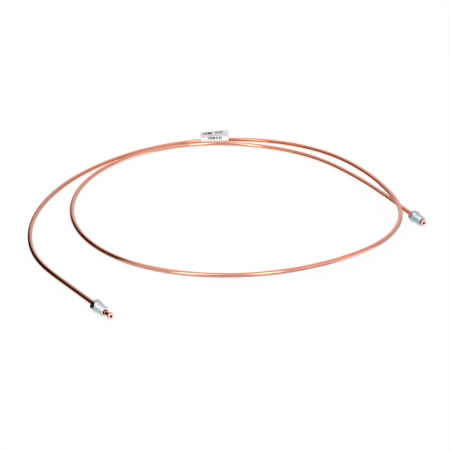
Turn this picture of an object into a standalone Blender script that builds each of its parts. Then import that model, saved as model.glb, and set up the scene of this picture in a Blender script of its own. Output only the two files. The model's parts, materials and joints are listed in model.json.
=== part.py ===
"""Brake line: a thin copper pipe, bent into a loose coil that lies flat.

Each end of the pipe is flared, and carries a steel tube nut that is trapped behind the flare and
slides along the straight end. A small folded label stands like a flag on the back strand.
All sizes are in metres, and +Z is up. The origin is the middle of the footprint, on the ground.
"""
import math

import bmesh
import bpy
import numpy as np

# Where two pieces touch, their meshes keep this gap.
GAP = 0.0003

# The pipe, which has a round section and an open bore.
PIPE_DIAMETER = 0.00475
PIPE_WALL = 0.0009
PIPE_SIDES = 12
RING_SPACING = 0.012

# The flare at each end: a rounded bead with a flat face around the pipe's mouth.
FLARE_DIAMETER = 0.0070
FLARE_LENGTH = 0.0028
FLARE_FACE_DIAMETER = 0.0052
FLARE_MOUTH_DIAMETER = 0.0034
FLARE_MOUTH_DEPTH = 0.0006
FLARE_QUARTER_STEPS = 4

# The tube nut's lengths, in order from its nose to its back.
NOSE_LENGTH = 0.0010
THREAD_LENGTH = 0.0105
SHOULDER_LENGTH = 0.0010
HEX_LENGTH = 0.0045
COLLAR_LENGTH = 0.0025

# The tube nut's widths.
NOSE_DIAMETER = 0.0086
THREAD_DIAMETER = 0.0100
HEX_ACROSS_FLATS = 0.0110
COLLAR_DIAMETER = 0.0082
NUT_PIPE_CLEARANCE = GAP
SEAT_DIAMETER = 0.0062
SEAT_DEPTH = 0.0010
NUT_SIDES = 32
HEX_SIDES = 6

# How much wider than its corners the nut is turned, and how far the hexagonal bar stands out past
# its ends, so that the flats alone shape the hexagon.
BLANK_MARGIN = 0.0003
BAR_OVERHANG = 0.0010

# Bare pipe between the back of each flare and the nose of its nut.
LEFT_NUT_SLACK = 0.0067
RIGHT_NUT_SLACK = 0.0005

# The route in plan, from the left tip to the right tip: the length and the bend radius of each
# stretch. Every bend turns clockwise, seen from above.
STRAIGHT = math.inf
ROUTE = [
    (0.105, STRAIGHT),
    (0.060, 0.1468),
    (0.105, 0.2127),
    (0.165, 0.2402),
    (0.275, 0.1719),
    (0.105, 0.2908),
    (0.130, 0.1113),
    (0.215, 0.2135),
    (0.150, 0.1543),
    (0.150, 0.1659),
    (0.150, 0.1530),
    (0.140, 0.1639),
    (0.095, 0.5700),
    (0.075, STRAIGHT),
]
START_HEADING = math.radians(127.6)
BEND_EASE = 0.060
ROUTE_STEP = 0.001

# The pipe's ends are held level by the nuts, which rest on a flat, and the middle lies on the
# ground. Where two strands cross, the earlier one passes over the later one in a long low hump.
END_LEVEL_LENGTH = 0.080
END_RAMP_LENGTH = 0.230
HUMP_RAMP_LENGTH = 0.420
HUMP_TOLERANCE = 0.00001
MOST_HUMPS = 24

# The label: a paper strip folded round the pipe, with its two ends glued together as a flag.
LABEL_START = 0.5190
LABEL_LENGTH = 0.033
LABEL_HEIGHT = 0.0092
LABEL_THICKNESS = 0.00025
LABEL_CLEARANCE = 0.0004
LABEL_TILT = math.radians(8.0)
LABEL_RING_STEPS = 12
LABEL_SPANS = 6

# Edges that bend more than this stay sharp when the surfaces are shaded smooth.
SHARP_ANGLE = math.radians(35.0)

PIPE_RADIUS = PIPE_DIAMETER / 2
PIPE_LENGTH = sum(length for length, radius in ROUTE)
NUT_LENGTH = NOSE_LENGTH + THREAD_LENGTH + SHOULDER_LENGTH + HEX_LENGTH + COLLAR_LENGTH
HEX_CORNER_RADIUS = HEX_ACROSS_FLATS / 2 / math.cos(math.pi / HEX_SIDES)


def clear_scene():
    """Remove every object of the scene."""
    for thing in list(bpy.data.objects):
        bpy.data.objects.remove(thing, do_unlink=True)


def make_material(name, colour, metallic, roughness):
    """Return a plain surface of one colour."""
    material = bpy.data.materials.new(name)
    material.use_nodes = True
    shader = material.node_tree.nodes["Principled BSDF"]
    shader.inputs["Base Color"].default_value = (*colour, 1.0)
    shader.inputs["Metallic"].default_value = metallic
    shader.inputs["Roughness"].default_value = roughness
    return material


def add_object(name, mesh, material):
    """Put a mesh into the scene as a named object with one material."""
    mesh.materials.append(material)
    thing = bpy.data.objects.new(name, mesh)
    bpy.context.collection.objects.link(thing)
    return thing


def shade_round(mesh):
    """Shade the round surfaces smooth and keep the real edges sharp."""
    mesh.shade_smooth()
    mesh.set_sharp_from_angle(angle=SHARP_ANGLE)


def mesh_from(name, shape):
    """Turn a closed shape's faces outward and return it as a mesh."""
    bmesh.ops.recalc_face_normals(shape, faces=shape.faces)
    mesh = bpy.data.meshes.new(name)
    shape.to_mesh(mesh)
    shape.free()
    shade_round(mesh)
    return mesh


def rise(t):
    """Go from 0 to 1 as t does, with a level start and a level end."""
    t = np.clip(t, 0.0, 1.0)
    return t ** 3 * (t * (6 * t - 15) + 10)


def route_plan(distances):
    """Return the plan points of the route, with each change of bend eased in."""
    curvature = np.full(len(distances), 1 / ROUTE[0][1])
    junction = 0.0
    for (length, radius), (_, next_radius) in zip(ROUTE, ROUTE[1:]):
        junction += length
        change = 1 / next_radius - 1 / radius
        curvature += change * rise((distances - junction) / BEND_EASE + 0.5)
    spans = np.diff(distances)
    turns = (curvature[1:] + curvature[:-1]) / 2 * spans
    headings = START_HEADING - np.concatenate([[0.0], np.cumsum(turns)])
    middles = (headings[1:] + headings[:-1]) / 2
    steps = np.stack([np.cos(middles), np.sin(middles)], axis=1) * spans[:, None]
    return np.vstack([[0.0, 0.0], np.cumsum(steps, axis=0)])


def end_heights(distances):
    """Return the pipe's height where only its ends are lifted, by the nuts."""
    lying = PIPE_RADIUS
    lifted = HEX_ACROSS_FLATS / 2
    from_end = np.minimum(distances, PIPE_LENGTH - distances)
    return lying + (lifted - lying) * rise(1 - (from_end - END_LEVEL_LENGTH) / END_RAMP_LENGTH)


def close_pairs(distances, plan, reach):
    """Return the places on two different strands that lie within reach, seen from above."""
    apart = np.linalg.norm(plan[:, None, :] - plan[None, :, :], axis=2)
    later = distances[None, :] - distances[:, None] > 2 * reach
    early, late = np.nonzero((apart < reach) & later)
    return early, late, apart[early, late]


def route_heights(distances, plan):
    """Return the pipe's height, with the earlier strand humped over each strand that it meets."""
    heights = end_heights(distances)
    reach = PIPE_DIAMETER + GAP
    early, late, apart = close_pairs(distances, plan, reach)
    if len(early) == 0:
        return heights
    rise_needed = np.sqrt(reach ** 2 - apart ** 2)
    for _ in range(MOST_HUMPS):
        missing = heights[late] + rise_needed - heights[early]
        worst = np.argmax(missing)
        if missing[worst] < HUMP_TOLERANCE:
            break
        from_hump = np.abs(distances - distances[early[worst]])
        heights = heights + missing[worst] * rise(1 - from_hump / HUMP_RAMP_LENGTH)
    return heights


def trace_route():
    """Return finely spaced distances along the pipe and the points of its centre line."""
    distances = np.linspace(0.0, PIPE_LENGTH, round(PIPE_LENGTH / ROUTE_STEP) + 1)
    plan = route_plan(distances)
    heights = route_heights(distances, plan)
    return distances, np.column_stack([plan, heights])


def point_on(route, distance):
    """Return the point of the centre line at a distance from the left tip."""
    distances, points = route
    return np.array([np.interp(distance, distances, points[:, axis]) for axis in range(3)])


def frame_on(route, distance):
    """Return the forward, sideways and upward directions of the pipe at a distance."""
    behind = max(distance - ROUTE_STEP, 0.0)
    ahead = min(distance + ROUTE_STEP, PIPE_LENGTH)
    forward = point_on(route, ahead) - point_on(route, behind)
    forward /= np.linalg.norm(forward)
    sideways = np.cross(forward, [0.0, 0.0, 1.0])
    sideways /= np.linalg.norm(sideways)
    return forward, sideways, np.cross(sideways, forward)


def section_on(route, distance, across, upward):
    """Return points of the pipe's cross section plane, given by their offsets from the centre."""
    _, sideways, up = frame_on(route, distance)
    return point_on(route, distance) + np.outer(across, sideways) + np.outer(upward, up)


def circle_offsets(radius, sides):
    """Return the offsets of a circle's points, one of which is at the very bottom."""
    angles = -math.pi / 2 + np.arange(sides) * 2 * math.pi / sides
    return radius * np.cos(angles), radius * np.sin(angles)


def mesh_from_loop_of_rings(name, rings):
    """Return the closed skin through a loop of rings, whose last ring joins the first."""
    shape = bmesh.new()
    loops = [[shape.verts.new(point) for point in ring] for ring in rings]
    for loop, following in zip(loops, loops[1:] + loops[:1]):
        for index in range(len(loop)):
            after = (index + 1) % len(loop)
            shape.faces.new((loop[index], loop[after], following[after], following[index]))
    return mesh_from(name, shape)


def flare_profile():
    """Return the flare's distances from the tip and radii, from its face to the plain pipe."""
    half_length = FLARE_LENGTH / 2
    face_radius = FLARE_FACE_DIAMETER / 2
    profile = []
    for step in range(2 * FLARE_QUARTER_STEPS + 1):
        angle = step * math.pi / 2 / FLARE_QUARTER_STEPS
        low_radius = face_radius if step < FLARE_QUARTER_STEPS else PIPE_RADIUS
        radius = low_radius + (FLARE_DIAMETER / 2 - low_radius) * math.sin(angle)
        profile.append((half_length * (1 - math.cos(angle)), radius))
    return profile


def mirror_to_far_end(profile):
    """Return a profile of the pipe's left end as it lies at the right end."""
    return [(PIPE_LENGTH - distance, radius) for distance, radius in reversed(profile)]


def plain_stations(margin):
    """Return evenly spaced distances along the pipe, between equal margins at its two ends."""
    span = PIPE_LENGTH - 2 * margin
    count = math.ceil(span / RING_SPACING)
    return [margin + span * step / count for step in range(1, count)]


def make_pipe(route, material):
    """Make the hollow pipe with a flare at each end, its bore open from tip to tip."""
    bore_radius = PIPE_RADIUS - PIPE_WALL
    flare = flare_profile()
    mouth = [(0.0, FLARE_MOUTH_DIAMETER / 2), (FLARE_MOUTH_DEPTH, bore_radius)]
    plain_outside = [(distance, PIPE_RADIUS) for distance in plain_stations(FLARE_LENGTH)]
    plain_inside = [(distance, bore_radius) for distance in plain_stations(FLARE_MOUTH_DEPTH)]
    outside = flare + plain_outside + mirror_to_far_end(flare)
    inside = mouth + plain_inside + mirror_to_far_end(mouth)
    rings = []
    for distance, radius in outside + inside[::-1]:
        across, upward = circle_offsets(radius, PIPE_SIDES)
        rings.append(section_on(route, distance, across, upward))
    return add_object("pipe", mesh_from_loop_of_rings("pipe", rings), material)


def nut_profile():
    """Return the turned nut's distances behind its nose and radii, round the outside and bore."""
    thread_end = NOSE_LENGTH + THREAD_LENGTH
    hex_start = thread_end + SHOULDER_LENGTH
    hex_end = hex_start + HEX_LENGTH
    blank_radius = HEX_CORNER_RADIUS + BLANK_MARGIN
    bore_radius = PIPE_RADIUS + NUT_PIPE_CLEARANCE
    return [
        (0.0, NOSE_DIAMETER / 2),
        (NOSE_LENGTH, THREAD_DIAMETER / 2),
        (thread_end, THREAD_DIAMETER / 2),
        (hex_start, blank_radius),
        (hex_end, blank_radius),
        (NUT_LENGTH, COLLAR_DIAMETER / 2),
        (NUT_LENGTH, bore_radius),
        (SEAT_DEPTH, bore_radius),
        (0.0, SEAT_DIAMETER / 2),
    ]


def make_turned_blank():
    """Return the turned mesh of a nut, with its nose at the origin and facing +X."""
    rings = []
    for behind_nose, radius in nut_profile():
        across, upward = circle_offsets(radius, NUT_SIDES)
        rings.append(np.column_stack([np.full(NUT_SIDES, -behind_nose), across, upward]))
    return mesh_from_loop_of_rings("turned_blank", rings)


def make_hexagonal_bar():
    """Return a hexagonal bar along X, with a flat at its bottom, that is longer than the nut."""
    angles = math.pi / 2 + (np.arange(HEX_SIDES) + 0.5) * 2 * math.pi / HEX_SIDES
    across = HEX_CORNER_RADIUS * np.cos(angles)
    upward = HEX_CORNER_RADIUS * np.sin(angles)
    shape = bmesh.new()
    ends = []
    for along in (BAR_OVERHANG, -NUT_LENGTH - BAR_OVERHANG):
        ends.append([shape.verts.new((along, y, z)) for y, z in zip(across, upward)])
        shape.faces.new(ends[-1])
    for index in range(HEX_SIDES):
        after = (index + 1) % HEX_SIDES
        shape.faces.new((ends[0][index], ends[0][after], ends[1][after], ends[1][index]))
    return mesh_from("hexagonal_bar", shape)


def make_nut_mesh(material):
    """Return the nut's mesh: the turned blank, cut to a hexagon where it is wider than the flats."""
    blank = add_object("turned_blank", make_turned_blank(), material)
    bar = add_object("hexagonal_bar", make_hexagonal_bar(), material)
    flats = blank.modifiers.new("flats", "BOOLEAN")
    flats.operation = "INTERSECT"
    flats.solver = "EXACT"
    flats.object = bar
    depsgraph = bpy.context.evaluated_depsgraph_get()
    mesh = bpy.data.meshes.new_from_object(blank.evaluated_get(depsgraph))
    mesh.name = "tube_nut"
    shade_round(mesh)
    bpy.data.objects.remove(blank)
    bpy.data.objects.remove(bar)
    return mesh


def place_nut(name, mesh, nose, pointing):
    """Put a tube nut on the pipe, with its nose at a point and facing a direction."""
    nut = bpy.data.objects.new(name, mesh)
    bpy.context.collection.objects.link(nut)
    nut.location = nose
    nut.rotation_euler.z = math.atan2(pointing[1], pointing[0])
    return nut


def label_section():
    """Return the label's section points and the four-sided cells that fill it."""
    inner_radius = PIPE_RADIUS + LABEL_CLEARANCE
    outer_radius = inner_radius + LABEL_THICKNESS
    top = math.pi / 2 + LABEL_TILT
    half_gap = math.asin(LABEL_THICKNESS / outer_radius)
    turn = 2 * math.pi - 2 * half_gap
    count = LABEL_RING_STEPS + 1
    angles = [top + half_gap + turn * step / LABEL_RING_STEPS for step in range(count)]
    points = [(inner_radius * math.cos(a), inner_radius * math.sin(a)) for a in angles]
    points += [(outer_radius * math.cos(a), outer_radius * math.sin(a)) for a in angles]
    for angle in (angles[0], angles[-1]):
        flag_x = outer_radius * math.cos(angle) + LABEL_HEIGHT * math.cos(top)
        flag_y = outer_radius * math.sin(angle) + LABEL_HEIGHT * math.sin(top)
        points.append((flag_x, flag_y))
    cells = []
    for step in range(count):
        after = (step + 1) % count
        cells.append((step, after, count + after, count + step))
    cells.append((2 * count - 1, count, 2 * count, 2 * count + 1))
    return np.array(points), cells


def border_edges(cells):
    """Return the edges that belong to one cell only."""
    edges = [(cell[side - 1], cell[side]) for cell in cells for side in range(len(cell))]
    return [edge for edge in edges if (edge[1], edge[0]) not in edges]


def make_label(route, material):
    """Make the folded label, which follows the pipe and stands up from it."""
    offsets, cells = label_section()
    shape = bmesh.new()
    sections = []
    for distance in np.linspace(LABEL_START, LABEL_START + LABEL_LENGTH, LABEL_SPANS + 1):
        points = section_on(route, distance, offsets[:, 0], offsets[:, 1])
        sections.append([shape.verts.new(point) for point in points])
    for section in (sections[0], sections[-1]):
        for cell in cells:
            shape.faces.new([section[index] for index in cell])
    for section, following in zip(sections, sections[1:]):
        for start, end in border_edges(cells):
            shape.faces.new((section[start], section[end], following[end], following[start]))
    return add_object("label", mesh_from("label", shape), material)


def world_points(thing, depsgraph):
    """Return the corners of an object as it stands in the scene, with its modifiers."""
    evaluated = thing.evaluated_get(depsgraph)
    mesh = evaluated.to_mesh()
    points = [evaluated.matrix_world @ vertex.co for vertex in mesh.vertices]
    evaluated.to_mesh_clear()
    return np.array(points)


def centre_on_ground(pieces):
    """Carry the pieces on one empty, moved so that the origin is under the middle of them all."""
    bpy.context.view_layer.update()
    depsgraph = bpy.context.evaluated_depsgraph_get()
    points = np.vstack([world_points(piece, depsgraph) for piece in pieces])
    low = points.min(axis=0)
    high = points.max(axis=0)
    carrier = bpy.data.objects.new("carrier", None)
    bpy.context.collection.objects.link(carrier)
    for piece in pieces:
        piece.parent = carrier
    carrier.location = (-(low[0] + high[0]) / 2, -(low[1] + high[1]) / 2, -low[2])
    bpy.context.view_layer.update()


def main():
    """Build the brake line."""
    clear_scene()
    copper = make_material("copper", (0.78, 0.46, 0.34), 1.0, 0.28)
    zinc = make_material("zinc", (0.70, 0.73, 0.76), 1.0, 0.35)
    paper = make_material("paper", (0.88, 0.88, 0.86), 0.0, 0.75)
    route = trace_route()
    left_forward, _, _ = frame_on(route, 0.0)
    right_forward, _, _ = frame_on(route, PIPE_LENGTH)
    left_nose = point_on(route, FLARE_LENGTH + LEFT_NUT_SLACK)
    right_nose = point_on(route, PIPE_LENGTH - FLARE_LENGTH - RIGHT_NUT_SLACK)
    nut_mesh = make_nut_mesh(zinc)
    pieces = [
        make_pipe(route, copper),
        place_nut("left_nut", nut_mesh, left_nose, -left_forward),
        place_nut("right_nut", nut_mesh, right_nose, right_forward),
        make_label(route, paper),
    ]
    centre_on_ground(pieces)


main()
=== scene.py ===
"""Looks of the brake line: a bent copper pipe, two zinc-plated tube nuts and a paper label."""
import json
import math

import bpy
import numpy as np
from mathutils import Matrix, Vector


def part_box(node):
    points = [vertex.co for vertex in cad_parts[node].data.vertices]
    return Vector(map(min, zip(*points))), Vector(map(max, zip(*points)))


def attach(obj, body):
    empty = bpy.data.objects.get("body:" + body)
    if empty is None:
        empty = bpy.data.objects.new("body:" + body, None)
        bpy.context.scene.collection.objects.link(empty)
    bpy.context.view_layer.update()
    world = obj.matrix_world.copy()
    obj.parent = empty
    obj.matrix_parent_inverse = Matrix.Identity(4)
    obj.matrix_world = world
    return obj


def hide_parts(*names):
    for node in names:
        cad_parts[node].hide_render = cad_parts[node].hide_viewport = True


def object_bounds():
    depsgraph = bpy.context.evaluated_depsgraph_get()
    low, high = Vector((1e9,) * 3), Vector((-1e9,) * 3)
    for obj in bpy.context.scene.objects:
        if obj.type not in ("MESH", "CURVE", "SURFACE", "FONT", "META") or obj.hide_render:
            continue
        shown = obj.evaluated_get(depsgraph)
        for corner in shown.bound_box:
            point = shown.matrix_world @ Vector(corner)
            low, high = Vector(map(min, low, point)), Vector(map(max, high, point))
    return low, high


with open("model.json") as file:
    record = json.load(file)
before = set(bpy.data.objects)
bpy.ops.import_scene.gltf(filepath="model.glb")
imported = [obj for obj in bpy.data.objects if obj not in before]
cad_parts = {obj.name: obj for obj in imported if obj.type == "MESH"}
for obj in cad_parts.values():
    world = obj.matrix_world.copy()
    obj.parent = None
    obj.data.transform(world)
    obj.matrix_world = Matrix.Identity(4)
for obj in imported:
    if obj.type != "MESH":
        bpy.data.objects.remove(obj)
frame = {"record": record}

CAD_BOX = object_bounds()
MOUNTS = {mount["name"]: mount for mount in frame["record"]["mounts"]}

# The pipe and its flares, in metres, as in the part.
PIPE_DIAMETER = 0.00475
PIPE_WALL = 0.0009
FLARE_DIAMETER = 0.0070
FLARE_LENGTH = 0.0028
FLARE_FACE_DIAMETER = 0.0052
FLARE_MOUTH_DIAMETER = 0.0034
FLARE_MOUTH_DEPTH = 0.0006
PIPE_RADIUS = PIPE_DIAMETER / 2
BORE_RADIUS = PIPE_RADIUS - PIPE_WALL

# The tube nut, in metres, as in the part.
NOSE_LENGTH = 0.0010
THREAD_LENGTH = 0.0105
SHOULDER_LENGTH = 0.0010
HEX_LENGTH = 0.0045
COLLAR_LENGTH = 0.0025
THREAD_END = NOSE_LENGTH + THREAD_LENGTH
HEX_START = THREAD_END + SHOULDER_LENGTH
HEX_END = HEX_START + HEX_LENGTH
NUT_LENGTH = HEX_END + COLLAR_LENGTH
NOSE_DIAMETER = 0.0086
THREAD_DIAMETER = 0.0100
HEX_ACROSS_FLATS = 0.0110
HEX_CORNER_RADIUS = HEX_ACROSS_FLATS / 2 / math.cos(math.pi / 6)
COLLAR_DIAMETER = 0.0082
SEAT_DIAMETER = 0.0062
SEAT_DEPTH = 0.0010

# What the nut has here alone: a closer bore, softened edges, blunted hexagon corners and a cut thread.
NUT_BORE_CLEARANCE = 0.0002
NUT_BORE_RADIUS = PIPE_RADIUS + NUT_BORE_CLEARANCE
EDGE_ROUNDING = 0.0002
CORNER_BLUNTING = 0.00012
THREAD_PITCH = 0.0010
THREAD_DEPTH = 0.00055
THREAD_FLAT_SHARE = 0.12
THREAD_START = NOSE_LENGTH / 2
THREAD_RUNOUT = 0.0008

# The nuts' finishes: the side, the material's name, its colour and the roughness behind the thread.
NUT_FINISHES = [
    ("left", "bright_zinc", (0.78, 0.77, 0.72), 0.12),
    ("right", "satin_zinc", (0.62, 0.65, 0.64), 0.30),
]
THREAD_ROUGHNESS = 0.28
FINISH_CHANGE = 0.0002

# The groove's values, from 0 on a crest to 1 at a root, over which the zinc is painted darker as shade in the
# roots.
# The bore has a higher value, which paints it near-black as shade, and only the outer share of the seat's
# depth is left unshaded.
ROOT_SHADE = (0.55, 1.0)
BORE_SHADE = (1.2, 1.8)
BORE_SHADE_MARK = 2.0
SEAT_UNSHADED_SHARE = 0.2

# The route in plan from the left tip: the length and the bend radius of each stretch, all clockwise.
STRAIGHT = math.inf
ROUTE = [
    (0.105, STRAIGHT),
    (0.060, 0.1468),
    (0.105, 0.2127),
    (0.165, 0.2402),
    (0.275, 0.1719),
    (0.105, 0.2908),
    (0.130, 0.1113),
    (0.215, 0.2135),
    (0.150, 0.1543),
    (0.150, 0.1659),
    (0.150, 0.1530),
    (0.140, 0.1639),
    (0.095, 0.5700),
    (0.075, STRAIGHT),
]
PIPE_LENGTH = sum(length for length, radius in ROUTE)
BEND_EASE = 0.060
ROUTE_STEP = 0.001

# The pipe's ends are lifted by the nuts, and one strand humps over the other where they cross.
END_LEVEL_LENGTH = 0.080
END_RAMP_LENGTH = 0.230
HUMP_RAMP_LENGTH = 0.420
HUMP_TOLERANCE = 0.00001
MOST_HUMPS = 24
STRAND_GAP = 0.0003

# The painted shade on the back strand, a warm dark band for the shade that it mirrors from its neighbour and
# the
# floor: the distances along the pipe over which it starts and ends, how far its side leans from the inside of
# the bend to the ground, its upper and lower edges, and its strength.
SHADE_BAND_START = (0.22, 0.34)
SHADE_BAND_END = (0.88, 0.80)
SHADE_BAND_LEAN = -0.6
SHADE_BAND_UPPER_EDGE = (0.1, 0.7)
SHADE_BAND_LOWER_EDGE = (1.10, 0.92)
SHADE_BAND_SHARE = 0.9

# The label's place on the pipe, its wrap and its flag, which is curled and has one round corner.
LABEL_START = 0.5190
LABEL_LENGTH = 0.033
LABEL_THICKNESS = 0.00025
LABEL_CLEARANCE = 0.0003
LABEL_RADIUS = PIPE_RADIUS + LABEL_CLEARANCE + LABEL_THICKNESS
LABEL_TILT = math.radians(8.0)
LABEL_LEFT_HEIGHT = 0.0074
LABEL_RIGHT_HEIGHT = 0.0091
LABEL_CORNER = 0.0045
LABEL_CORNER_DROP = 0.0027
LABEL_CORNER_ROUNDNESS = 0.96
LABEL_CURL = 0.0048
LABEL_CURL_MIDDLE = 0.45
LABEL_CURL_POWER = 1.5

# The label's rows of plain bars: each row's left, right, upper and lower edges, the bars' pitch, how much
# their widths differ, the seed of the widths and the ink's strength. Edges and pitches are shares of the
# label's length and, from the top, of the flag's height. Bar widths are shares of the pitch. Towards the wrap
# the paper is painted lighter, as painted light that makes the wrap brighter than the flag.
PRINTED_ROWS = [
    (0.08, 0.44, 0.14, 0.42, 0.085, 0.45, 3.0, 1.0),
    (0.54, 0.80, 0.14, 0.42, 0.065, 0.45, 11.0, 1.0),
    (0.24, 0.76, 0.88, 1.28, 0.055, 0.45, 29.0, 1.0),
    (0.08, 0.92, 0.60, 0.66, 0.021, 0.60, 47.0, 0.45),
]
LEAST_BAR_WIDTH = 0.45
WRAP_PAINTED_LIGHT = (0.7, 1.05)

# How finely the surfaces are cut, and the angle from which an edge shows as sharp.
PIPE_SIDES = 40
PIPE_RING_SPACING = 0.002
BORE_RING_SPACING = 0.012
FLARE_QUARTER_STEPS = 10
NUT_SIDES = 96
NOSE_STEPS = 8
THREAD_STEPS_PER_PITCH = 10
SHOULDER_STEPS = 12
HEX_STEPS = 18
COLLAR_STEPS = 30
LABEL_SPANS = 60
LABEL_RING_STEPS = 36
LABEL_FLAG_STEPS = 12
CARD_SPANS = 24
SHARP_ANGLE = math.radians(30.0)

# The camera: the photograph's angle, distance and frame.
CAMERA_ELEVATION = math.radians(27.0)
CAMERA_DISTANCE = 1.5326
CAMERA_AIM = Vector((-0.0030, -0.0078, 0.0))
SENSOR_WIDTH = 36.0
IMAGE_WIDTH_PIXELS = 450
FOCAL_PIXELS = 1462.1

# The soft lamp: its bearing and height in degrees, its distance and side in metres, and its power.
LAMP_BEARING = -150
LAMP_HEIGHT = 60
LAMP_DISTANCE = 2.2
LAMP_SIDE = 1.2
LAMP_POWER = 6.0

# The floor: half its side, how far it lies under the part, and how much of its own white it shows.
FLOOR_HALF_SIDE = 4.0
FLOOR_DROP = 0.0003
FLOOR_WHITE_SHARE = 0.93

# The surroundings: their plain level, and what the metal mirrors instead. That is a base level and a tint,
# round glows (bearing, height, radius and softness in degrees, and strength) and upright light strips
# (bearing, height, half width and half height in degrees, and strength). A strip's edges are soft over a
# share of its half width, and it ends before the directions at right angles to it.
PLAIN_LEVEL = 1.0
MIRRORED_LEVEL = 0.62
MIRRORED_TINT = (1.0, 1.08, 1.22)
GLOWS = [
    (0, 90, 30, 20, 0.2),
    (0, 20, 25, 15, 0.15),
    (130, 30, 22, 12, 0.35),
    (0, -90, 50, 25, 0.2),
    (-177, 28, 14, 8, -0.14),
    (104, -27, 14, 5, 1.5),
]
STRIPS = [
    (163, 38, 7, 28, 2.2),
    (-150, 38, 6, 30, 2.2),
]
STRIP_SOFTNESS = 0.35
LEAST_DEPTH = 0.01

# The curved dark card, in degrees and metres: its rim, its heights and where along Z its black warms. It
# turns grey along Y, earlier in its upper part.
DARK_CARD_BEARINGS = (-108, -15)
DARK_CARD_RADIUS = 0.55
DARK_CARD_CENTRE = (-0.10, -0.05)
DARK_CARD_HEIGHTS = (-0.15, 0.80)
DARK_CARD_WARMING = (0.12, 0.20)
DARK_CARD_UPPER_PART = (0.42, 0.52)
DARK_CARD_UPPER_GREYING = (0.16, 0.26)
DARK_CARD_GREYING = (0.36, 0.46)
CARD_WEAVE_SCALE = 40.0

# The upright grey card, in metres: its place along X, its span along Y, its heights and where along Y it
# darkens.
GREY_CARD_PLACE = -0.15
GREY_CARD_SPAN = (0.0, 0.33)
GREY_CARD_HEIGHTS = (0.10, 0.45)
GREY_CARD_DARKENING = (0.16, 0.22)

# The bright glare, which lies under the ground behind the coil, in metres: its corners and its height. It
# gets stronger along X.
GLARE_CORNERS = ((-0.15, 0.12), (0.14, 0.12), (0.02, 0.27), (-0.15, 0.27))
GLARE_HEIGHT = -0.10
GLARE_LEAST = 1.2
GLARE_MOST = 3.0
GLARE_RISE = (-0.01, 0.06)
GLARE_CLOUD_SCALE = 3.0


class Graph:
    """The nodes of one material or of the world, with short calls to add and join them."""

    def __init__(self, tree):
        self.tree = tree
        self.tree.nodes.clear()

    def add(self, kind, **settings):
        """Add a node and set its properties."""
        node = self.tree.nodes.new(kind)
        for name, value in settings.items():
            setattr(node, name, value)
        return node

    def feed(self, socket, value):
        """Give a socket a constant or another node's output."""
        if isinstance(value, bpy.types.NodeSocket):
            self.tree.links.new(value, socket)
        else:
            socket.default_value = value

    def place(self):
        """Return the place on the piece, in metres."""
        return self.add("ShaderNodeTexCoord").outputs["Object"]

    def stored(self, name):
        """Return the vector that the mesh keeps under a name."""
        return self.add("ShaderNodeAttribute", attribute_name=name).outputs["Vector"]

    def split(self, vector):
        """Return the three numbers of a vector."""
        node = self.add("ShaderNodeSeparateXYZ")
        self.feed(node.inputs[0], vector)
        return list(node.outputs)

    def math(self, operation, *values):
        """Return the result of a calculation on numbers."""
        node = self.add("ShaderNodeMath", operation=operation)
        for socket, value in zip(node.inputs, values):
            self.feed(socket, value)
        return node.outputs[0]

    def scaled_sum(self, value, factor, added):
        """Return a value times a factor, plus another value."""
        return self.math("MULTIPLY_ADD", value, factor, added)

    def dot(self, vector, direction):
        """Return the dot product with a fixed direction."""
        node = self.add("ShaderNodeVectorMath", operation="DOT_PRODUCT")
        self.feed(node.inputs[0], vector)
        self.feed(node.inputs[1], direction)
        return node.outputs["Value"]

    def step(self, value, low, high):
        """Return a smooth rise from 0 to 1 between two values."""
        node = self.add("ShaderNodeMapRange", interpolation_type="SMOOTHSTEP")
        for name, given in (("Value", value), ("From Min", low), ("From Max", high)):
            self.feed(node.inputs[name], given)
        return node.outputs["Result"]

    def scaled(self, vector, scale):
        """Return a vector stretched by a factor along each axis."""
        node = self.add("ShaderNodeVectorMath", operation="MULTIPLY")
        self.feed(node.inputs[0], vector)
        self.feed(node.inputs[1], scale)
        return node.outputs["Vector"]

    def noise(self, vector, scale, detail=3.0, roughness=0.5):
        """Return a noise value."""
        node = self.add("ShaderNodeTexNoise")
        self.feed(node.inputs["Vector"], vector)
        node.inputs["Scale"].default_value = scale
        node.inputs["Detail"].default_value = detail
        node.inputs["Roughness"].default_value = roughness
        return node.outputs["Fac"]

    def mix(self, factor, first, second):
        """Return a colour between two others."""
        node = self.add("ShaderNodeMix", data_type="RGBA")
        self.feed(node.inputs[0], factor)
        self.feed(node.inputs[6], first)
        self.feed(node.inputs[7], second)
        return node.outputs[2]

    def bump(self, height, strength, distance, normal=None):
        """Return a normal roughened by a height."""
        node = self.add("ShaderNodeBump")
        node.inputs["Strength"].default_value = strength
        node.inputs["Distance"].default_value = distance
        self.feed(node.inputs["Height"], height)
        if normal is not None:
            self.feed(node.inputs["Normal"], normal)
        return node.outputs["Normal"]


def new_material(name):
    """Return a material with one Principled shader, its node graph and the shader."""
    material = bpy.data.materials.new(name)
    material.use_nodes = True
    graph = Graph(material.node_tree)
    shader = graph.add("ShaderNodeBsdfPrincipled")
    output = graph.add("ShaderNodeOutputMaterial")
    graph.feed(output.inputs["Surface"], shader.outputs["BSDF"])
    return material, graph, shader


def rgb(red, green, blue):
    """Return an opaque colour."""
    return (red, green, blue, 1.0)


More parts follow.
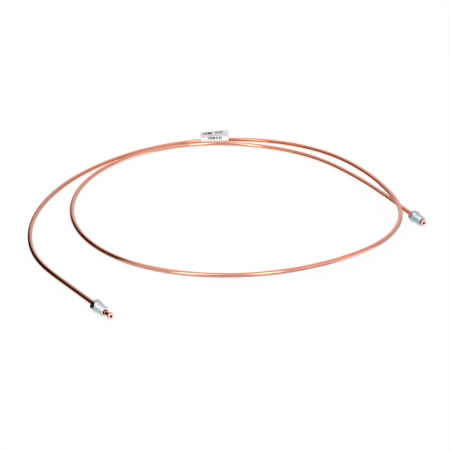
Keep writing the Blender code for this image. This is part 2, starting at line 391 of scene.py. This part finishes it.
def copper_material():
    """Drawn copper: fine streaks along the pipe, soft patches, specks, a warm dark band of painted shade on
    the back strand, and some gloss.
    """
    material, graph, shader = new_material("copper_pipe")
    drawn = graph.stored("drawn")
    place = graph.place()
    streaks = graph.noise(graph.scaled(drawn, (1.0, 1.0, 14.0)), 3.5, 4.0, 0.6)
    patches = graph.noise(place, 22.0, 3.0, 0.55)
    specks = graph.noise(place, 420.0, 2.0, 0.6)
    clean = graph.mix(graph.step(streaks, 0.3, 0.7), rgb(0.93, 0.38, 0.235), rgb(0.97, 0.45, 0.31))
    warm = graph.mix(graph.step(patches, 0.45, 0.75), clean, rgb(0.88, 0.34, 0.21))
    # Painted shade: the back strand's warm dark band, for the shade it mirrors from its neighbour and the
    # floor.
    band_shaded = graph.mix(painted_shade_share(graph, drawn), warm, rgb(0.58, 0.17, 0.08))
    colour = graph.mix(graph.step(specks, 0.62, 0.8), band_shaded, rgb(0.72, 0.27, 0.17))
    graph.feed(shader.inputs["Base Color"], colour)
    shader.inputs["Metallic"].default_value = 1.0
    gloss = graph.scaled_sum(streaks, 0.05, 0.03)
    graph.feed(shader.inputs["Roughness"], graph.scaled_sum(patches, 0.04, gloss))
    fine = graph.bump(streaks, 0.06, 0.0001)
    graph.feed(shader.inputs["Normal"], graph.bump(patches, 0.06, 0.0004, fine))
    return material


def painted_shade_share(graph, drawn):
    """Return how much painted shade darkens the copper, by the side of the pipe and the distance along it."""
    inner, upper, distance = graph.split(drawn)
    low_side = graph.scaled_sum(upper, SHADE_BAND_LEAN, inner)
    share = graph.step(low_side, *SHADE_BAND_UPPER_EDGE)
    share = graph.math("MULTIPLY", share, graph.step(distance, *SHADE_BAND_START))
    share = graph.math("MULTIPLY", share, graph.step(distance, *SHADE_BAND_END))
    share = graph.math("MULTIPLY", share, graph.step(low_side, *SHADE_BAND_LOWER_EDGE))
    return graph.math("MULTIPLY", share, SHADE_BAND_SHARE)


def flare_material():
    """The flared ends: copper pressed bright, with faint rings from the die."""
    material, graph, shader = new_material("copper_flare")
    rings = graph.noise(graph.scaled(graph.stored("drawn"), (0.3, 0.3, 900.0)), 4.0, 2.0, 0.5)
    patches = graph.noise(graph.place(), 300.0, 3.0, 0.5)
    colour = graph.mix(graph.step(patches, 0.35, 0.7), rgb(0.96, 0.56, 0.46), rgb(0.93, 0.47, 0.36))
    graph.feed(shader.inputs["Base Color"], colour)
    shader.inputs["Metallic"].default_value = 1.0
    graph.feed(shader.inputs["Roughness"], graph.scaled_sum(patches, 0.14, 0.22))
    graph.feed(shader.inputs["Normal"], graph.bump(rings, 0.12, 0.0001))
    return material


def bore_material():
    """The inside of the pipe: dull brown copper oxide."""
    material, graph, shader = new_material("copper_bore")
    patches = graph.noise(graph.place(), 350.0, 3.0, 0.6)
    colour = graph.mix(graph.step(patches, 0.35, 0.7), rgb(0.42, 0.06, 0.02), rgb(0.58, 0.13, 0.06))
    graph.feed(shader.inputs["Base Color"], colour)
    shader.inputs["Metallic"].default_value = 0.4
    graph.feed(shader.inputs["Roughness"], graph.scaled_sum(patches, 0.2, 0.45))
    return material


def zinc_material(name, tone, roughness):
    """Zinc plating: turned rings, painted shade in the thread roots, faint tints and a bore painted
    near-black as shade.
    """
    material, graph, shader = new_material(name)
    turned = graph.stored("turned")
    groove = graph.add("ShaderNodeAttribute", attribute_name="groove").outputs["Fac"]
    place = graph.place()
    rings = graph.noise(graph.scaled(turned, (0.2, 0.2, 1500.0)), 3.0, 2.0, 0.6)
    clouds = graph.noise(place, 160.0, 3.0, 0.55)
    tint = graph.noise(place, 70.0, 2.0, 0.5)
    red, green, blue = tone
    dull = rgb(0.92 * red, 0.92 * green, 0.92 * blue)
    plated = graph.mix(graph.step(clouds, 0.3, 0.7), dull, rgb(red, green, blue))
    tinted = graph.mix(graph.step(tint, 0.5, 0.8), plated, rgb(red, green, 0.92 * blue))
    # Painted shade: darker thread roots, and a near-black bore and inner seat.
    root_shaded = graph.mix(graph.step(groove, *ROOT_SHADE), tinted, rgb(0.7 * red, 0.7 * green, 0.7 * blue))
    colour = graph.mix(graph.step(groove, *BORE_SHADE), root_shaded, rgb(0.03, 0.03, 0.035))
    graph.feed(shader.inputs["Base Color"], colour)
    shader.inputs["Metallic"].default_value = 1.0
    behind_nose = graph.split(turned)[2]
    threaded = graph.step(behind_nose, THREAD_END + FINISH_CHANGE, THREAD_END - FINISH_CHANGE)
    satin = graph.scaled_sum(threaded, THREAD_ROUGHNESS - roughness, roughness)
    graph.feed(shader.inputs["Roughness"], graph.scaled_sum(clouds, 0.06, satin))
    fine = graph.bump(rings, 0.10, 0.00005)
    graph.feed(shader.inputs["Normal"], graph.bump(clouds, 0.05, 0.0002, fine))
    return material


def bars(graph, across, down, row):
    """Return the ink of one row of short bars of uneven width."""
    left, right, upper, lower, pitch, difference, seed, ink = row
    stretched = graph.math("MULTIPLY", across, 1 / pitch)
    cell = graph.math("FLOOR", stretched)
    part = graph.math("FRACT", stretched)
    uneven = graph.add("ShaderNodeTexWhiteNoise", noise_dimensions="1D")
    graph.feed(uneven.inputs["W"], graph.math("ADD", cell, seed))
    width = graph.scaled_sum(uneven.outputs["Value"], difference, LEAST_BAR_WIDTH)
    shown = graph.math("LESS_THAN", part, width)
    for value, low_edge, high_edge in ((across, left, right), (down, upper, lower)):
        shown = graph.math("MULTIPLY", shown, graph.math("GREATER_THAN", value, low_edge))
        shown = graph.math("MULTIPLY", shown, graph.math("LESS_THAN", value, high_edge))
    return graph.math("MULTIPLY", shown, ink)


def paper_material():
    """Matt white label stock with fine fibres, plain printed bars on the front, and painted light that makes
    the wrap lighter than the flag.
    """
    material, graph, shader = new_material("label_paper")
    across, down, front = graph.split(graph.stored("sheet"))
    ink = 0.0
    for row in PRINTED_ROWS:
        ink = graph.math("MAXIMUM", ink, bars(graph, across, down, row))
    ink = graph.math("MULTIPLY", ink, graph.math("GREATER_THAN", front, 0.5))
    fibres = graph.noise(graph.place(), 900.0, 3.0, 0.6)
    # Painted light and shade: the flag is painted grey and the wrap near white, for the light that falls more
    # on the wrap.
    flag = graph.mix(fibres, rgb(0.70, 0.70, 0.695), rgb(0.77, 0.77, 0.765))
    wrap = graph.mix(fibres, rgb(0.96, 0.96, 0.96), rgb(1.0, 1.0, 1.0))
    paper = graph.mix(graph.step(down, *WRAP_PAINTED_LIGHT), flag, wrap)
    graph.feed(shader.inputs["Base Color"], graph.mix(ink, paper, rgb(0.03, 0.03, 0.035)))
    shader.inputs["Roughness"].default_value = 0.7
    shader.inputs["Specular IOR Level"].default_value = 0.35
    graph.feed(shader.inputs["Normal"], graph.bump(fibres, 0.2, 0.0001))
    return material


def rise(t):
    """Go from 0 to 1 as t does, with a level start and a level end."""
    t = np.clip(t, 0.0, 1.0)
    return t ** 3 * (t * (6 * t - 15) + 10)


def axis_height(body):
    """Return the height of a nut's axis over the ground."""
    low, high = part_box(body)
    return (low.z + high.z) / 2


def left_tip():
    """Return the middle of the left flare's face, which is where the route starts."""
    x, y, _ = MOUNTS["left_flare_face"]["pos_m"]
    return np.array([x, y, axis_height("left_nut")])


def route_plan(distances):
    """Return the plan points of the route, with each change of bend eased in."""
    axis = MOUNTS["left_flare_face"]["axis"]
    start_heading = math.atan2(-axis[1], -axis[0])
    curvature = np.full(len(distances), 1 / ROUTE[0][1])
    junction = 0.0
    for (length, radius), (_, next_radius) in zip(ROUTE, ROUTE[1:]):
        junction += length
        change = 1 / next_radius - 1 / radius
        curvature += change * rise((distances - junction) / BEND_EASE + 0.5)
    spans = np.diff(distances)
    turns = (curvature[1:] + curvature[:-1]) / 2 * spans
    headings = start_heading - np.concatenate([[0.0], np.cumsum(turns)])
    middles = (headings[1:] + headings[:-1]) / 2
    steps = np.stack([np.cos(middles), np.sin(middles)], axis=1) * spans[:, None]
    return left_tip()[:2] + np.vstack([[0.0, 0.0], np.cumsum(steps, axis=0)])


def route_heights(distances, plan):
    """Return the pipe's height, lifted at its ends and humped where it crosses itself."""
    lifted = left_tip()[2]
    from_end = np.minimum(distances, PIPE_LENGTH - distances)
    ramp = rise(1 - (from_end - END_LEVEL_LENGTH) / END_RAMP_LENGTH)
    heights = PIPE_RADIUS + (lifted - PIPE_RADIUS) * ramp
    reach = PIPE_DIAMETER + STRAND_GAP
    apart = np.linalg.norm(plan[:, None, :] - plan[None, :, :], axis=2)
    later = distances[None, :] - distances[:, None] > 2 * reach
    early, late = np.nonzero((apart < reach) & later)
    rise_needed = np.sqrt(reach ** 2 - apart[early, late] ** 2)
    for _ in range(MOST_HUMPS):
        missing = heights[late] + rise_needed - heights[early]
        worst = np.argmax(missing)
        if missing[worst] < HUMP_TOLERANCE:
            break
        from_hump = np.abs(distances - distances[early[worst]])
        heights = heights + missing[worst] * rise(1 - from_hump / HUMP_RAMP_LENGTH)
    return heights


def trace_route():
    """Return finely spaced distances along the pipe and the points of its centre line."""
    distances = np.linspace(0.0, PIPE_LENGTH, round(PIPE_LENGTH / ROUTE_STEP) + 1)
    plan = route_plan(distances)
    return distances, np.column_stack([plan, route_heights(distances, plan)])


def points_on(route, wanted):
    """Return the points of the centre line at the wanted distances."""
    distances, points = route
    return np.column_stack([np.interp(wanted, distances, points[:, axis]) for axis in range(3)])


def frames_on(route, wanted):
    """Return the centres and the sideways and upward directions at the wanted distances."""
    behind = np.maximum(wanted - ROUTE_STEP, 0.0)
    ahead = np.minimum(wanted + ROUTE_STEP, PIPE_LENGTH)
    forward = points_on(route, ahead) - points_on(route, behind)
    forward /= np.linalg.norm(forward, axis=1)[:, None]
    sideways = np.cross(forward, [0.0, 0.0, 1.0])
    sideways /= np.linalg.norm(sideways, axis=1)[:, None]
    return points_on(route, wanted), sideways, np.cross(sideways, forward)


def grid_faces(rows, columns, closed_rows=False, closed_columns=False):
    """Return the four-sided faces of a grid of points, joined round where it is closed."""
    row_count = rows if closed_rows else rows - 1
    column_count = columns if closed_columns else columns - 1
    row, column = np.meshgrid(np.arange(row_count), np.arange(column_count), indexing="ij")
    next_row = (row + 1) % rows
    next_column = (column + 1) % columns
    corners = [
        row * columns + column,
        next_row * columns + column,
        next_row * columns + next_column,
        row * columns + next_column,
    ]
    return np.stack(corners, axis=-1).reshape(-1, 4)


def mesh_object(name, points, faces, materials):
    """Return an object with smooth shading, from grid points and faces."""
    mesh = bpy.data.meshes.new(name)
    mesh.from_pydata(points.reshape(-1, 3).tolist(), [], faces.tolist())
    for material in materials:
        mesh.materials.append(material)
    mesh.shade_smooth()
    mesh.set_sharp_from_angle(angle=SHARP_ANGLE)
    thing = bpy.data.objects.new(name, mesh)
    bpy.context.scene.collection.objects.link(thing)
    return thing


def store_vectors(thing, name, values):
    """Keep one vector for each point of a mesh, for its material to read."""
    attribute = thing.data.attributes.new(name, "FLOAT_VECTOR", "POINT")
    attribute.data.foreach_set("vector", np.asarray(values, dtype=np.float32).ravel())


def store_numbers(thing, name, values):
    """Keep one number for each point of a mesh, for its material to read."""
    attribute = thing.data.attributes.new(name, "FLOAT", "POINT")
    attribute.data.foreach_set("value", np.asarray(values, dtype=np.float32).ravel())


def around_and_along(angles, stations):
    """Return for each point of a round piece its place around the axis and its distance along it."""
    values = np.empty((len(stations), len(angles), 3))
    values[..., 0] = np.cos(angles)
    values[..., 1] = np.sin(angles)
    values[..., 2] = stations[:, None]
    return values


def ring_angles(sides):
    """Return the angles of the points of a ring, from its lowest point."""
    return np.arange(sides) * 2 * math.pi / sides - math.pi / 2


def flare_profile():
    """Return the flare's distances from the tip and radii, from its face to the plain pipe."""
    half_length = FLARE_LENGTH / 2
    face_radius = FLARE_FACE_DIAMETER / 2
    profile = []
    for step in range(2 * FLARE_QUARTER_STEPS + 1):
        angle = step * math.pi / 2 / FLARE_QUARTER_STEPS
        low_radius = face_radius if step < FLARE_QUARTER_STEPS else PIPE_RADIUS
        radius = low_radius + (FLARE_DIAMETER / 2 - low_radius) * math.sin(angle)
        profile.append((half_length * (1 - math.cos(angle)), radius))
    return profile


def far_end(profile):
    """Return a profile of the left end as it lies at the right end."""
    return [(PIPE_LENGTH - distance, radius) for distance, radius in reversed(profile)]


def plain_rings(margin, spacing, radius):
    """Return evenly spaced rings of one radius between equal margins at the two ends."""
    span = PIPE_LENGTH - 2 * margin
    count = math.ceil(span / spacing)
    return [(margin + span * step / count, radius) for step in range(1, count)]


def pipe_rings():
    """Return each ring's distance and radius, out along the pipe and back in its bore, and its material.

    The material is that of the faces up to the next ring: 0 is plain, 1 is the flare's and 2 the bore's.
    """
    flare = flare_profile()
    mouth = [(0.0, FLARE_MOUTH_DIAMETER / 2), (FLARE_MOUTH_DEPTH, BORE_RADIUS)]
    outside = flare + plain_rings(FLARE_LENGTH, PIPE_RING_SPACING, PIPE_RADIUS) + far_end(flare)
    inside = mouth + plain_rings(FLARE_MOUTH_DEPTH, BORE_RING_SPACING, BORE_RADIUS) + far_end(mouth)
    slots = np.zeros(len(outside) + len(inside), dtype=np.int32)
    slots[:len(flare) - 1] = 1
    slots[len(outside) - len(flare):len(outside)] = 1
    slots[len(outside) + 1:-2] = 2
    slots[-1] = 1
    return np.array(outside + inside[::-1]), slots


def make_pipe(route, materials):
    """Make the bent pipe with its flares and its open bore."""
    rings, slots = pipe_rings()
    distances, radii = rings.T
    centres, sideways, up = frames_on(route, distances)
    angles = ring_angles(PIPE_SIDES)
    across = np.cos(angles)[None, :, None]
    upward = np.sin(angles)[None, :, None]
    outward = across * sideways[:, None] + upward * up[:, None]
    points = centres[:, None] + radii[:, None, None] * outward
    faces = grid_faces(len(rings), PIPE_SIDES, closed_rows=True, closed_columns=True)
    pipe = mesh_object("copper_pipe", points, faces, materials)
    store_vectors(pipe, "drawn", around_and_along(angles, distances))
    pipe.data.polygons.foreach_set("material_index", np.repeat(slots, PIPE_SIDES))
    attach(pipe, "pipe")
    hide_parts("pipe")


def outer_stations():
    """Return distances behind the nut's nose, close together where the surface is detailed."""
    thread_steps = round(THREAD_LENGTH / THREAD_PITCH * THREAD_STEPS_PER_PITCH)
    stretches = [
        (0.0, NOSE_LENGTH, NOSE_STEPS),
        (NOSE_LENGTH, THREAD_END, thread_steps),
        (THREAD_END, HEX_START, SHOULDER_STEPS),
        (HEX_START, HEX_END, HEX_STEPS),
        (HEX_END, NUT_LENGTH, COLLAR_STEPS),
    ]
    cut = [np.linspace(start, end, steps + 1)[1:] for start, end, steps in stretches]
    return np.concatenate([[0.0], *cut])


def turned_radii(stations):
    """Return the turned nut's radius at distances behind its nose, with softened end edges."""
    blank_radius = HEX_CORNER_RADIUS - CORNER_BLUNTING
    corners = [0.0, NOSE_LENGTH, THREAD_END, HEX_START, HEX_END, NUT_LENGTH]
    radii = [
        NOSE_DIAMETER / 2,
        THREAD_DIAMETER / 2,
        THREAD_DIAMETER / 2,
        blank_radius,
        blank_radius,
        COLLAR_DIAMETER / 2,
    ]
    plain = np.interp(stations, corners, radii)
    from_end = np.minimum(stations, NUT_LENGTH - stations)
    lost = np.clip(1 - from_end / EDGE_ROUNDING, 0.0, 1.0)
    return plain - EDGE_ROUNDING * (1 - np.sqrt(1 - lost ** 2))


def thread_groove(stations, angles):
    """Return how deep the right-handed thread is cut, from 0 to 1, at stations and angles."""
    turn = stations[:, None] / THREAD_PITCH + angles[None, :] / (2 * math.pi)
    from_crest = 1 - np.abs(2 * (turn % 1.0) - 1)
    cut = np.clip((from_crest - THREAD_FLAT_SHARE) / (1 - 2 * THREAD_FLAT_SHARE), 0.0, 1.0)
    fade_in = (stations - THREAD_START) / THREAD_RUNOUT
    fade_out = (THREAD_END - stations) / THREAD_RUNOUT
    return cut * rise(np.minimum(fade_in, fade_out))[:, None]


def hexagon_radii(angles):
    """Return the radius of the hexagon, with a flat at its bottom, at each angle."""
    sector = math.pi / 3
    from_flat = (angles + math.pi / 2 + sector / 2) % sector - sector / 2
    return HEX_ACROSS_FLATS / 2 / np.cos(from_flat)


def inner_rings():
    """Return the distances behind the nose and the radii of the nut's bore and seat, from its back."""
    seat_radius = SEAT_DIAMETER / 2
    # The ring at the unshaded share of the seat's depth is where the bore's painted shade begins.
    unshaded_radius = seat_radius + (NUT_BORE_RADIUS - seat_radius) * SEAT_UNSHADED_SHARE
    return np.array([
        (NUT_LENGTH, NUT_BORE_RADIUS + EDGE_ROUNDING),
        (NUT_LENGTH - EDGE_ROUNDING, NUT_BORE_RADIUS),
        (SEAT_DEPTH, NUT_BORE_RADIUS),
        (SEAT_DEPTH * SEAT_UNSHADED_SHARE, unshaded_radius),
        (0.0, seat_radius),
    ])


def make_nut(side, zinc):
    """Make the tube nut of one side: thread, hexagon, tapered back, bore and seat."""
    body = side + "_nut"
    angles = ring_angles(NUT_SIDES)
    stations = outer_stations()
    groove = thread_groove(stations, angles)
    outside = turned_radii(stations)[:, None] - THREAD_DEPTH * groove
    outside = np.minimum(outside, hexagon_radii(angles)[None, :])
    inside = inner_rings()
    behind = np.concatenate([stations, inside[:, 0]])
    radii = np.vstack([outside, np.repeat(inside[:, 1:], NUT_SIDES, axis=1)])
    toward_tip = np.array(MOUNTS[side + "_flare_face"]["axis"])
    hex_bottom = np.array(MOUNTS[side + "_nut_flat"]["pos_m"])
    up = np.array([0.0, 0.0, 1.0])
    nose = hex_bottom + toward_tip * (HEX_START + HEX_END) / 2 + up * axis_height(body)
    sideways = np.cross(up, toward_tip)
    around = np.cos(angles)[:, None] * sideways + np.sin(angles)[:, None] * up
    points = nose - behind[:, None, None] * toward_tip + radii[:, :, None] * around[None]
    faces = grid_faces(len(behind), NUT_SIDES, closed_rows=True, closed_columns=True)[:, ::-1]
    nut = mesh_object(side + "_tube_nut", points, faces, [zinc])
    store_vectors(nut, "turned", around_and_along(angles, behind))
    # The stored groove drives the painted shade: thread depth outside, and the bore's shade mark on the inner
    # rings but the mouth.
    depth = np.zeros(radii.shape)
    depth[:len(stations)] = groove
    depth[len(stations):-1] = BORE_SHADE_MARK
    store_numbers(nut, "groove", depth)
    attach(nut, body)
    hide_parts(body)


def flag_heights(shares):
    """Return the flag's height along the label, with a round far corner."""
    growth = LABEL_RIGHT_HEIGHT - LABEL_LEFT_HEIGHT
    heights = LABEL_LEFT_HEIGHT + growth * np.sin(shares * math.pi / 2)
    into_corner = np.clip((shares - 1) * LABEL_LENGTH / LABEL_CORNER + 1, 0.0, 1.0)
    return heights - LABEL_CORNER_DROP * (1 - np.sqrt(1 - LABEL_CORNER_ROUNDNESS * into_corner ** 2))


def label_section(share, height):
    """Return the label's outline at one place, and where its points lie on the sheet.

    The outline runs down the flag's back, round the wrap and up the flag's front. On the sheet a point has
    its share of the length, its share of the height from the top, and 1, or -1 on the back.
    """
    top = math.pi / 2 + LABEL_TILT
    half_gap = math.asin(LABEL_THICKNESS / LABEL_RADIUS)
    ring = top + half_gap + (2 * math.pi - 2 * half_gap) * np.linspace(0, 1, LABEL_RING_STEPS + 1)
    wrap = LABEL_RADIUS * np.column_stack([np.cos(ring), np.sin(ring)])
    lean = np.array([math.cos(top), math.sin(top)])
    across = np.array([math.sin(top), -math.cos(top)])
    flag = np.linspace(0.0, 1.0, LABEL_FLAG_STEPS + 1)
    reach = LABEL_RADIUS * math.cos(half_gap) + flag * height
    curl = LABEL_CURL * (share - LABEL_CURL_MIDDLE) ** 2 * flag ** LABEL_CURL_POWER
    middle = reach[:, None] * lean - curl[:, None] * across
    back = middle - LABEL_THICKNESS * across
    front = middle + LABEL_THICKNESS * across
    wrapped = np.linspace(-2 * math.pi * LABEL_RADIUS / height, 0.0, LABEL_RING_STEPS + 1)
    risen = np.concatenate([flag[:0:-1], wrapped, flag[1:]])
    facing = np.ones(len(risen))
    facing[:LABEL_FLAG_STEPS] = -1.0
    sheet = np.column_stack([np.full(len(risen), share), 1 - risen, facing])
    return np.vstack([back[:0:-1], wrap, front[1:]]), sheet


def make_label(route, paper):
    """Make the folded label: a wrap round the pipe that rises into a gently curled flag."""
    shares = np.linspace(0.0, 1.0, LABEL_SPANS + 1)
    centres, sideways, up = frames_on(route, LABEL_START + LABEL_LENGTH * shares)
    sections = [label_section(share, height) for share, height in zip(shares, flag_heights(shares))]
    outlines = np.array([outline for outline, sheet in sections])
    across, upward = outlines[..., :1], outlines[..., 1:]
    points = centres[:, None] + across * sideways[:, None] + upward * up[:, None]
    faces = grid_faces(len(shares), outlines.shape[1], closed_columns=True)
    label = mesh_object("paper_label", points, faces, [paper])
    store_vectors(label, "sheet", [sheet for outline, sheet in sections])
    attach(label, "pipe")
    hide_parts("label")


def floor_material():
    """A white sheet: plain white where it is looked at or mirrored, with a trace of shadow."""
    material, graph, shader = new_material("white_floor")
    shader.inputs["Base Color"].default_value = rgb(0.9, 0.9, 0.9)
    shader.inputs["Roughness"].default_value = 0.9
    glow_shader = graph.add("ShaderNodeEmission")
    path = graph.add("ShaderNodeLightPath")
    seen = graph.math("MAXIMUM", path.outputs["Is Camera Ray"], path.outputs["Is Glossy Ray"])
    seen = graph.math("MAXIMUM", seen, path.outputs["Is Transmission Ray"])
    blend = graph.add("ShaderNodeMixShader")
    graph.feed(blend.inputs["Fac"], graph.math("MULTIPLY", seen, FLOOR_WHITE_SHARE))
    graph.feed(blend.inputs[1], shader.outputs["BSDF"])
    graph.feed(blend.inputs[2], glow_shader.outputs["Emission"])
    output = next(node for node in material.node_tree.nodes if node.type == "OUTPUT_MATERIAL")
    graph.feed(output.inputs["Surface"], blend.outputs["Shader"])
    return material


def make_floor():
    """Lay the floor just under the lowest point of the part."""
    half = FLOOR_HALF_SIDE
    height = CAD_BOX[0][2] - FLOOR_DROP
    points = np.array([(x, y, height) for x in (-half, half) for y in (-half, half)])
    floor = mesh_object("floor", points, grid_faces(2, 2), [floor_material()])
    floor.visible_glossy = False


def direction(azimuth, elevation):
    """Return a direction by its compass angle from +Y towards +X, and its height, in degrees."""
    a = math.radians(azimuth)
    e = math.radians(elevation)
    return Vector((math.sin(a) * math.cos(e), math.cos(a) * math.cos(e), math.sin(e)))


def strip(graph, looking, azimuth, elevation, half_width, half_height):
    """Return 1 inside a soft-edged upright strip of the surroundings, by its angles in degrees."""
    ahead = direction(azimuth, elevation)
    right = direction(azimuth + 90, 0)
    upward = right.cross(ahead)
    depth = graph.dot(looking, ahead)
    safe = graph.math("MAXIMUM", depth, LEAST_DEPTH)
    inside = graph.math("GREATER_THAN", depth, LEAST_DEPTH)
    for axis, half in ((right, half_width), (upward, half_height)):
        reach = math.tan(math.radians(half))
        soft = reach * STRIP_SOFTNESS
        offset = graph.math("ABSOLUTE", graph.math("DIVIDE", graph.dot(looking, axis), safe))
        edge = graph.math("SUBTRACT", 1.0, graph.step(offset, reach - soft, reach + soft))
        inside = graph.math("MULTIPLY", inside, edge)
    return inside


def glow(graph, looking, azimuth, elevation, radius, softness):
    """Return 1 inside a soft-edged round patch of the surroundings, by its angles in degrees."""
    along = graph.dot(looking, direction(azimuth, elevation))
    edge = math.cos(math.radians(radius + softness))
    middle = math.cos(math.radians(max(radius - softness, 0.0)))
    return graph.step(along, edge, middle)


def make_world():
    """Surround the part with plain white, and what it mirrors with a studio's glows and light strips."""
    world = bpy.data.worlds.new("studio")
    bpy.context.scene.world = world
    world.use_nodes = True
    graph = Graph(world.node_tree)
    looking = graph.add("ShaderNodeTexCoord").outputs["Generated"]
    level = MIRRORED_LEVEL
    for shape, lights in ((glow, GLOWS), (strip, STRIPS)):
        for *angles, strength in lights:
            level = graph.scaled_sum(shape(graph, looking, *angles), strength, level)
    mirrored = graph.add("ShaderNodeLightPath").outputs["Is Glossy Ray"]
    background = graph.add("ShaderNodeBackground")
    colour = graph.mix(mirrored, rgb(1.0, 1.0, 1.0), rgb(*MIRRORED_TINT))
    graph.feed(background.inputs["Color"], colour)
    change = graph.math("SUBTRACT", level, PLAIN_LEVEL)
    graph.feed(background.inputs["Strength"], graph.scaled_sum(mirrored, change, PLAIN_LEVEL))
    output = graph.add("ShaderNodeOutputWorld")
    graph.feed(output.inputs["Surface"], background.outputs["Background"])


def card_material(name):
    """Return a material that shows no colour but the light it gives off, its node graph and shader."""
    material, graph, shader = new_material(name)
    shader.inputs["Base Color"].default_value = rgb(0.0, 0.0, 0.0)
    shader.inputs["Specular IOR Level"].default_value = 0.0
    shader.inputs["Emission Strength"].default_value = 1.0
    return material, graph, shader


def middle_grey(graph, weave):
    """Return the grey that both cards have."""
    return graph.mix(weave, rgb(0.32, 0.31, 0.30), rgb(0.38, 0.37, 0.36))


def hang_card(name, points, faces, material):
    """Add a card that only the mirroring surfaces show."""
    card = mesh_object(name, points, faces, [material])
    card.visible_camera = False
    card.visible_diffuse = False
    card.visible_shadow = False


def make_dark_card():
    """Stand a curved card at the left and back: blue-black, warm black higher up, and grey at its end."""
    material, graph, shader = card_material("dark_card")
    place = graph.place()
    _, backward, upward = graph.split(place)
    weave = graph.noise(place, CARD_WEAVE_SCALE)
    low = graph.mix(weave, rgb(0.004, 0.007, 0.014), rgb(0.006, 0.010, 0.020))
    high = graph.mix(weave, rgb(0.045, 0.006, 0.003), rgb(0.056, 0.009, 0.005))
    dark = graph.mix(graph.step(upward, *DARK_CARD_WARMING), low, high)
    upper_back = graph.step(backward, *DARK_CARD_UPPER_GREYING)
    upper_back = graph.math("MULTIPLY", upper_back, graph.step(upward, *DARK_CARD_UPPER_PART))
    far = graph.math("MAXIMUM", upper_back, graph.step(backward, *DARK_CARD_GREYING))
    graph.feed(shader.inputs["Emission Color"], graph.mix(far, dark, middle_grey(graph, weave)))
    bearings = np.radians(np.linspace(*DARK_CARD_BEARINGS, CARD_SPANS + 1))
    rim = np.column_stack([np.sin(bearings), np.cos(bearings)]) * DARK_CARD_RADIUS + DARK_CARD_CENTRE
    points = np.array([(x, y, z) for x, y in rim for z in DARK_CARD_HEIGHTS])
    hang_card("dark_card", points, grid_faces(len(rim), 2), material)


def make_grey_card():
    """Hang an upright grey card over the coil, lighter towards the front."""
    material, graph, shader = card_material("grey_card")
    place = graph.place()
    _, backward, _ = graph.split(place)
    weave = graph.noise(place, CARD_WEAVE_SCALE)
    light = graph.mix(weave, rgb(0.64, 0.63, 0.62), rgb(0.70, 0.69, 0.68))
    darkened = graph.step(backward, *GREY_CARD_DARKENING)
    graph.feed(shader.inputs["Emission Color"], graph.mix(darkened, light, middle_grey(graph, weave)))
    points = np.array([(GREY_CARD_PLACE, y, z) for y in GREY_CARD_SPAN for z in GREY_CARD_HEIGHTS])
    hang_card("grey_card", points, grid_faces(2, 2), material)


def make_floor_glare():
    """Lay the floor's bright glare behind the coil, brighter towards the right."""
    material, graph, shader = card_material("floor_glare")
    place = graph.place()
    clouds = graph.noise(place, GLARE_CLOUD_SCALE)
    colour = graph.mix(clouds, rgb(0.9, 0.95, 1.0), rgb(1.0, 1.0, 1.0))
    graph.feed(shader.inputs["Emission Color"], colour)
    rightward, _, _ = graph.split(place)
    bright = graph.step(rightward, *GLARE_RISE)
    strength = graph.scaled_sum(bright, GLARE_MOST - GLARE_LEAST, GLARE_LEAST)
    graph.feed(shader.inputs["Emission Strength"], strength)
    points = np.array([(x, y, GLARE_HEIGHT) for x, y in GLARE_CORNERS])
    hang_card("floor_glare", points, np.array([[0, 1, 2, 3]]), material)


def make_lamp():
    """Hang a large soft lamp that looks at the middle of the part."""
    data = bpy.data.lights.new("key", "AREA")
    data.shape = "SQUARE"
    data.size = LAMP_SIDE
    data.energy = LAMP_POWER
    lamp = bpy.data.objects.new("key", data)
    bpy.context.scene.collection.objects.link(lamp)
    toward = direction(LAMP_BEARING, LAMP_HEIGHT)
    lamp.location = toward * LAMP_DISTANCE
    lamp.rotation_euler = (-toward).to_track_quat("-Z", "Y").to_euler()
    lamp.visible_glossy = False


def make_camera():
    """Set the camera at the photograph's viewing angle."""
    data = bpy.data.cameras.new("camera")
    data.sensor_fit = "HORIZONTAL"
    data.sensor_width = SENSOR_WIDTH
    data.lens = SENSOR_WIDTH * FOCAL_PIXELS / IMAGE_WIDTH_PIXELS
    camera = bpy.data.objects.new("camera", data)
    bpy.context.scene.collection.objects.link(camera)
    back = Vector((0.0, -math.cos(CAMERA_ELEVATION), math.sin(CAMERA_ELEVATION)))
    camera.location = CAMERA_AIM + back * CAMERA_DISTANCE
    camera.rotation_euler = (-back).to_track_quat("-Z", "Y").to_euler()
    bpy.context.scene.camera = camera


def main():
    """Build the looks of the brake line and the studio around it."""
    make_camera()
    route = trace_route()
    make_pipe(route, [copper_material(), flare_material(), bore_material()])
    for side, finish, tone, roughness in NUT_FINISHES:
        make_nut(side, zinc_material(finish, tone, roughness))
    make_label(route, paper_material())
    make_floor()
    make_world()
    make_dark_card()
    make_grey_card()
    make_floor_glare()
    make_lamp()
    bpy.context.scene.view_settings.view_transform = "Standard"


main()
